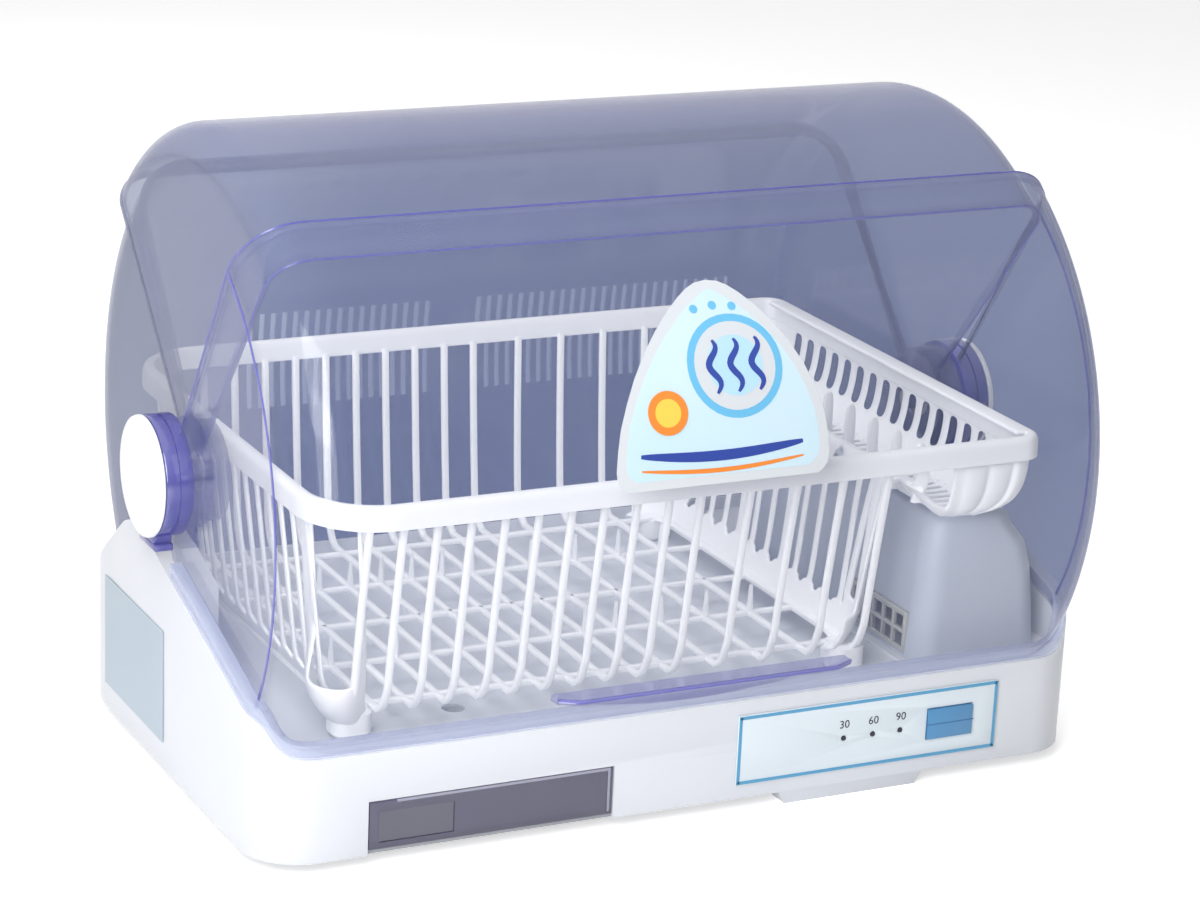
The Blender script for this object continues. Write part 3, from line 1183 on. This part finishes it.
def make_fan():
    """Make the motor under the deck, and the bladed wheel with its shaft above it."""
    wheel_z = DECK_TOP_Z + FAN_LIFT
    motor_top = DECK_UNDER_Z - GAP
    motor = part("fan_motor", rod((FAN_X, FAN_Y, motor_top - MOTOR_HEIGHT), (FAN_X, FAN_Y, motor_top),
                                  MOTOR_RADIUS, HUB_SIDES), STEEL, (FAN_X, FAN_Y, motor_top))
    cut(motor, rod((FAN_X, FAN_Y, motor_top - MOTOR_HEIGHT / 2), (FAN_X, FAN_Y, motor_top + OVERRUN),
                   SHAFT_RADIUS + GAP, SCREW_SIDES), "shaft_hole")
    smooth(motor)
    axis = bpy.data.objects.new("fan_axis", None)
    axis.location = (FAN_X, FAN_Y, wheel_z)
    PARTS.objects.link(axis)
    centre = (FAN_X, FAN_Y, wheel_z)
    wheel = part("fan_wheel", rod(centre, (FAN_X, FAN_Y, wheel_z + FAN_DISC), FAN_RADIUS, HUB_SIDES),
                 GREY, centre, axis)
    add(wheel, rod((FAN_X, FAN_Y, wheel_z + FAN_DISC / 2), (FAN_X, FAN_Y, wheel_z + FAN_HEIGHT / 2),
                   FAN_HUB_RADIUS, PIN_SIDES), "hub")
    blades = bmesh.new()
    mid = FAN_RADIUS - FAN_BLADE_WIDTH / 2 - FAN_BLADE_THICKNESS
    for i in range(FAN_BLADES):
        angle = math.tau * i / FAN_BLADES
        before = len(blades.verts)
        block((mid - FAN_BLADE_WIDTH / 2, -FAN_BLADE_THICKNESS / 2, FAN_DISC / 2),
              (mid + FAN_BLADE_WIDTH / 2, FAN_BLADE_THICKNESS / 2, FAN_HEIGHT), blades)
        blades.verts.ensure_lookup_table()
        made = blades.verts[before:]
        turn = Matrix.Rotation(angle, 3, "Z")
        bmesh.ops.rotate(blades, verts=made, matrix=turn, cent=(0.0, 0.0, 0.0))
        bmesh.ops.translate(blades, verts=made, vec=Vector(centre))
    add(wheel, blades, "blades")
    bore_low = wheel_z - OVERRUN
    cut(wheel, rod((FAN_X, FAN_Y, bore_low), (FAN_X, FAN_Y, wheel_z + FAN_HEIGHT / 3),
                   SHAFT_RADIUS + GAP, SCREW_SIDES), "bore")
    shaft = rod((FAN_X, FAN_Y, motor_top - MOTOR_HEIGHT / 2 + GAP),
                (FAN_X, FAN_Y, wheel_z + FAN_HEIGHT / 3 - GAP), SHAFT_RADIUS, SCREW_SIDES)
    smooth(part("fan_shaft", shaft, STEEL, centre, axis))


def make_heater():
    """Make the finned heater in the duct, its thermostat and its end frame."""
    z0 = DECK_TOP_Z + GAP
    front_y = HEATER_REAR_Y - HEATER_LENGTH
    frame = part("heater_frame", block((HEATER_LEFT_X, front_y, z0),
                                       (HEATER_RIGHT_X, HEATER_REAR_Y, z0 + HEATER_HEIGHT)), NYLON)
    inner = (HEATER_LEFT_X + HEATER_FRAME, HEATER_RIGHT_X - HEATER_FRAME)
    top = z0 + HEATER_HEIGHT - HEATER_FRAME
    cut(frame, block((inner[0], front_y - OVERRUN, z0 + HEATER_FRAME),
                     (inner[1], HEATER_REAR_Y + OVERRUN, top)), "window")
    low = z0 + HEATER_FRAME + GAP
    high = top - GAP
    bar = HEATER_FRAME / 2
    y0 = front_y + HEATER_FRAME
    y1 = HEATER_REAR_Y - HEATER_FRAME
    heater = part("heater", block((inner[0] + GAP, y0, low), (inner[1] - GAP, y1, low + bar)), STEEL)
    fins = bmesh.new()
    pitch = (inner[1] - inner[0] - 2 * GAP - HEATER_FIN_THICKNESS) / (HEATER_FIN_COUNT - 1)
    for i in range(HEATER_FIN_COUNT):
        x = inner[0] + GAP + i * pitch
        block((x, y0 + bar / 2, low + bar / 2), (x + HEATER_FIN_THICKNESS, y1 - bar / 2, high), fins)
    add(heater, fins, "fins")
    top_z = z0 + HEATER_HEIGHT + GAP
    x = (HEATER_LEFT_X + HEATER_RIGHT_X) / 2
    y = (front_y + HEATER_REAR_Y) / 2
    smooth(part("thermostat", rod((x, y, top_z), (x, y, top_z + THERMOSTAT_HEIGHT),
                                  THERMOSTAT_RADIUS, PIN_SIDES), STEEL, (x, y, top_z)))


def make_drawer():
    """Make the smoky drip drawer and the spout that drains the deck into it."""
    x0 = DRAWER_LEFT_X + GAP
    x1 = DRAWER_RIGHT_X - GAP
    low = PLATE_TOP_Z + GAP
    y1 = BASE_FRONT_Y + DRAWER_DEPTH
    drawer = part("drip_drawer", block((x0, BASE_FRONT_Y, low), (x1, y1, DRAWER_TOP_Z)), SMOKE,
                  (DRAWER_LEFT_X, BASE_FRONT_Y, low))
    cut(drawer, block((x0 + DRAWER_WALL, BASE_FRONT_Y + DRAWER_FACE, low + DRAWER_WALL),
                      (x1 - DRAWER_WALL, y1 - DRAWER_WALL, DRAWER_TOP_Z + OVERRUN)), "inside")
    top = DECK_UNDER_Z - GAP
    bottom = DRAWER_TOP_Z + RUNNING_GAP
    flange_z = top - DRAIN_WALL
    outer = DRAIN_RADIUS + DRAIN_WALL
    loops = []
    for radius, z in ((DRAIN_RADIUS, bottom), (outer, bottom), (outer, flange_z), (DRAIN_FLANGE, flange_z),
                      (DRAIN_FLANGE, top), (DRAIN_RADIUS, top)):
        loops.append([Vector((DRAIN_X + radius * math.cos(a), DRAIN_Y + radius * math.sin(a), z))
                      for a in (math.tau * i / PIN_SIDES for i in range(PIN_SIDES))])
    smooth(part("drain_spout", loft(loops, closed=True), WHITE, (DRAIN_X, DRAIN_Y, top)))


def make_panel():
    """Make the printed panel plate, the button, the lights and the board behind them."""
    front = BASE_FRONT_Y - GAP
    panel = part("control_panel", block((PANEL_LEFT_X, front - PANEL_THICKNESS, PANEL_LOW_Z),
                                        (PANEL_RIGHT_X, front, PANEL_HIGH_Z)), WHITE)
    through = (front - PANEL_THICKNESS - OVERRUN, front + OVERRUN)
    holes = block((BUTTON_LEFT_X - BUTTON_CLEARANCE, through[0], BUTTON_LOW_Z - BUTTON_CLEARANCE),
                  (BUTTON_RIGHT_X + BUTTON_CLEARANCE, through[1], BUTTON_HIGH_Z + BUTTON_CLEARANCE))
    for x in LIGHT_XS:
        rod((x, through[0], LIGHT_Z), (x, through[1], LIGHT_Z), LIGHT_RADIUS + GAP, SCREW_SIDES, holes)
    cut(panel, holes, "holes")
    face = front - PANEL_THICKNESS
    back = FRONT_INNER_Y + BUTTON_FLANGE + BUTTON_TRAVEL
    centre = ((BUTTON_LEFT_X + BUTTON_RIGHT_X) / 2, face, (BUTTON_LOW_Z + BUTTON_HIGH_Z) / 2)
    button = part("timer_button", block((BUTTON_LEFT_X, face - BUTTON_PROUD, BUTTON_LOW_Z),
                                        (BUTTON_RIGHT_X, back, BUTTON_HIGH_Z)), BLUE, centre)
    flange = block((BUTTON_LEFT_X - BUTTON_FLANGE, FRONT_INNER_Y + GAP, BUTTON_LOW_Z - BUTTON_FLANGE),
                   (BUTTON_RIGHT_X + BUTTON_FLANGE, back - GAP, BUTTON_HIGH_Z + BUTTON_FLANGE))
    add(button, flange, "flange")
    make_board(face, centre, back)


def make_board(face, button_centre, button_back):
    """Make the circuit board, its switch, relay and screws, and the three lights."""
    board_low = (PANEL_LEFT_X + BOARD_MARGIN, BOARD_Y, PANEL_LOW_Z)
    board_high = (PANEL_RIGHT_X + BOARD_MARGIN, BOARD_Y + BOARD_THICKNESS, PANEL_HIGH_Z - GAP)
    board = part("circuit_board", block(board_low, board_high), GREEN)
    holes = bmesh.new()
    for x, z in board_post_places():
        rod((x, BOARD_Y - OVERRUN, z), (x, BOARD_Y + OVERRUN, z), SCREW_RADIUS / 2 + GAP, SCREW_SIDES,
            holes)
    cut(board, holes, "screw_holes")
    for index, (x, z) in enumerate(board_post_places()):
        head = (x, BOARD_Y + BOARD_THICKNESS + GAP + SCREW_HEAD, z)
        shape = screw(head, (0.0, -1.0, 0.0), BOARD_THICKNESS + BOARD_SETBACK / 2, BOARD_SCREW_SHARE)
        smooth(part(f"board_screw_{index + 1}", shape, STEEL, head))
    switch_front = button_back + BUTTON_TRAVEL + GAP
    half = SWITCH_SIZE / 2
    part("push_switch", block((button_centre[0] - half, switch_front, button_centre[2] - half),
                              (button_centre[0] + half, BOARD_Y - GAP, button_centre[2] + half)), BLACK)
    for word, x in zip(LIGHT_WORDS, LIGHT_XS):
        light = rod((x, face - LIGHT_PROUD, LIGHT_Z), (x, BOARD_Y - GAP, LIGHT_Z), LIGHT_RADIUS,
                    SCREW_SIDES)
        smooth(part("light_" + word, light, BLACK, (x, face, LIGHT_Z)))
    width, height, depth = RELAY_SIZE
    relay_x = board_low[0] + 2 * width
    relay_z = PANEL_LOW_Z + height / 2
    back = BOARD_Y + BOARD_THICKNESS + GAP
    part("relay", block((relay_x, back, relay_z), (relay_x + width, back + depth, relay_z + height)),
         BLUE)


def make_rating_plate():
    """Make the blank plate on the left cheek."""
    outer = -BASE_HALF - GAP
    part("rating_plate", block((outer - RATING_THICKNESS, RATING_FRONT_Y, RATING_LOW_Z),
                               (outer, RATING_REAR_Y, RATING_HIGH_Z)), PALE)


def facet_count(top_angle, low_angle):
    """Return how many flat facets a cover's shell has between two angles."""
    return max(1, round((top_angle - low_angle) / FACET_ANGLE))


def label_rows():
    """Return the angle and radius of the label's rows, which lie flat on the front cover's facets."""
    pitch = (FRONT_TOP_ANGLE - FRONT_LOW_ANGLE) / facet_count(FRONT_TOP_ANGLE, FRONT_LOW_ANGLE)
    count = math.ceil(2 * (FRONT_TOP_ANGLE - LABEL_LOW_ANGLE) / pitch)
    halves = [FRONT_TOP_ANGLE - i * pitch / 2 for i in range(count)]
    angles = [LABEL_LOW_ANGLE] + sorted(a for a in halves if LABEL_LOW_ANGLE < a < LABEL_HIGH_ANGLE)
    angles.append(LABEL_HIGH_ANGLE)
    rows = []
    for angle in angles:
        offset = (FRONT_TOP_ANGLE - angle) % pitch - pitch / 2
        flat = FRONT_COVER_RADIUS * math.cos(math.radians(pitch / 2)) / math.cos(math.radians(offset))
        rows.append((angle, flat + GAP))
    return rows


def label_half_width(share):
    """Return half the label's width at a share of its height, from its foot to its crown."""
    for (w0, s0), (w1, s1) in zip(LABEL_SHARES, LABEL_SHARES[1:]):
        if s0 <= share <= s1:
            return LABEL_HALF * max(w0 + (w1 - w0) * (share - s0) / (s1 - s0), LABEL_CROWN_SHARE)
    return LABEL_HALF * LABEL_CROWN_SHARE


def make_cover_label(axis):
    """Make the arch-shaped label on the outside of the front cover, as a bent sheet."""
    loops = []
    for angle, radius in label_rows():
        half = label_half_width((angle - LABEL_LOW_ANGLE) / (LABEL_HIGH_ANGLE - LABEL_LOW_ANGLE))
        turn = math.radians(angle)
        loops.append([Vector((LABEL_CENTRE_X + x, PIVOT_Y - r * math.cos(turn), PIVOT_Z + r * math.sin(turn)))
                      for x, r in ((-half, radius), (half, radius), (half, radius + LABEL_THICKNESS),
                                   (-half, radius + LABEL_THICKNESS))])
    part("cover_label", loft(loops), PALE, PIVOT, axis)


def make_inlet_and_wires():
    """Make the cord inlet in the rear wall, and the wiring between the inlet, board, motor and heater."""
    rear = BASE_REAR_Y
    inner = rear - BASE_WALL
    loops = []
    for radius, y in ((INLET_BORE, inner - INLET_PROUD), (INLET_RADIUS, inner - INLET_PROUD),
                      (INLET_RADIUS, rear + GAP), (INLET_COLLAR, rear + GAP),
                      (INLET_COLLAR, rear + INLET_PROUD), (INLET_BORE, rear + INLET_PROUD)):
        loops.append([Vector((INLET_X + radius * math.cos(a), y, INLET_Z + radius * math.sin(a)))
                      for a in (math.tau * i / PIN_SIDES for i in range(PIN_SIDES))])
    smooth(part("cord_inlet", loft(loops, closed=True), BLACK, (INLET_X, rear, INLET_Z)))
    board_back = BOARD_Y + BOARD_THICKNESS
    low = PLATE_TOP_Z + WIRE_LIFT
    lane = PANEL_LEFT_X + BOARD_MARGIN + RELAY_SIZE[0]
    board_z = PANEL_LOW_Z + BOARD_MARGIN
    wire("supply_wire", [
        (INLET_X, inner - INLET_PROUD - GAP, INLET_Z),
        (INLET_X, inner - INLET_PROUD - 2 * OVERRUN, low),
        (lane, FAN_Y, low),
        (lane, board_back + 4 * OVERRUN, low),
        (lane, board_back + 2 * OVERRUN, board_z),
        (lane, board_back + OVERRUN, board_z),
        (lane, board_back + WIRE_RADIUS / 2, board_z),
    ])
    motor_x = FAN_X - MOTOR_RADIUS
    motor_z = DECK_UNDER_Z - MOTOR_HEIGHT / 2
    wire("motor_wire", [
        (motor_x - GAP - WIRE_RADIUS, FAN_Y, motor_z),
        (motor_x - OVERRUN, FAN_Y - OVERRUN, low),
        (lane + WIRE_SPREAD, board_back + 4 * OVERRUN, low),
        (lane + WIRE_SPREAD, board_back + 2 * OVERRUN, motor_z),
        (lane + WIRE_SPREAD, board_back + OVERRUN, motor_z),
        (lane + WIRE_SPREAD, board_back + WIRE_RADIUS / 2, motor_z),
    ])


def wire(name, points):
    """Make one insulated wire along a smooth route."""
    curve = bpy.data.curves.new(name, "CURVE")
    curve.dimensions = "3D"
    curve.bevel_depth = WIRE_RADIUS
    curve.bevel_resolution = 1
    curve.use_fill_caps = True
    route = [Vector(point) for point in points]
    padded = [route[0]] + route + [route[-1]]
    smooth_points = []
    steps = 5
    for a, b, c, d in zip(padded, padded[1:], padded[2:], padded[3:]):
        for i in range(steps):
            t = i / steps
            smooth_points.append(0.5 * (2 * b + (c - a) * t + (2 * a - 5 * b + 4 * c - d) * t ** 2
                                        + (3 * b - a - 3 * c + d) * t ** 3))
    smooth_points.append(route[-1])
    spline = curve.splines.new("POLY")
    spline.points.add(len(smooth_points) - 1)
    for point, place in zip(spline.points, smooth_points):
        point.co = (*place, 1.0)
    piece = bpy.data.objects.new(name, curve)
    curve.materials.append(BLACK)
    PARTS.objects.link(piece)
    return piece


def make_filter():
    """Make the dust filter over the intake slots."""
    half_x = INTAKE_SLOTS * INTAKE_PITCH / 2 + FILTER_MARGIN
    half_y = INTAKE_SLOT_LENGTH / 2 + FILTER_MARGIN
    low = PLATE_TOP_Z + GAP
    part("dust_filter", block((FAN_X - half_x, FAN_Y - half_y, low),
                              (FAN_X + half_x, FAN_Y + half_y, low + FILTER_THICKNESS)), BLACK)


for old in list(bpy.data.objects):
    bpy.data.objects.remove(old, do_unlink=True)

PARTS = make_collection("electric_dish_dryer")
CUTTERS = make_collection("cutters")

WHITE = make_material("white_plastic", (0.86, 0.88, 0.90), 0.35)
CLEAR = make_material("clear_blue_plastic", (0.50, 0.54, 0.82), 0.08, alpha=0.35)
SMOKE = make_material("smoky_plastic", (0.25, 0.24, 0.42), 0.15, alpha=0.7)
GREY = make_material("grey_plastic", (0.55, 0.56, 0.60), 0.5)
PALE = make_material("pale_print", (0.80, 0.88, 0.94), 0.4)
BLUE = make_material("blue_plastic", (0.16, 0.42, 0.70), 0.35)
BLACK = make_material("black_plastic", (0.03, 0.03, 0.035), 0.5)
GREEN = make_material("circuit_green", (0.04, 0.25, 0.10), 0.5)
NYLON = make_material("nylon", (0.82, 0.80, 0.74), 0.5)
STEEL = make_material("steel", (0.62, 0.62, 0.64), 0.3, 1.0)
RUBBER = make_material("rubber", (0.05, 0.05, 0.05), 0.8)

hinge_line = bpy.data.objects.new("cover_hinge_line", None)
hinge_line.location = PIVOT
PARTS.objects.link(hinge_line)

make_base_housing()
make_bottom_plate()
make_feet_and_screws()
make_rear_cover()
make_middle_cover(hinge_line)
make_front_cover(hinge_line)
make_hinge_hardware()
make_rack()
make_blower_housing()
make_grille()
make_fan()
make_heater()
make_drawer()
make_panel()
make_rating_plate()
make_cover_label(hinge_line)
make_inlet_and_wires()
make_filter()
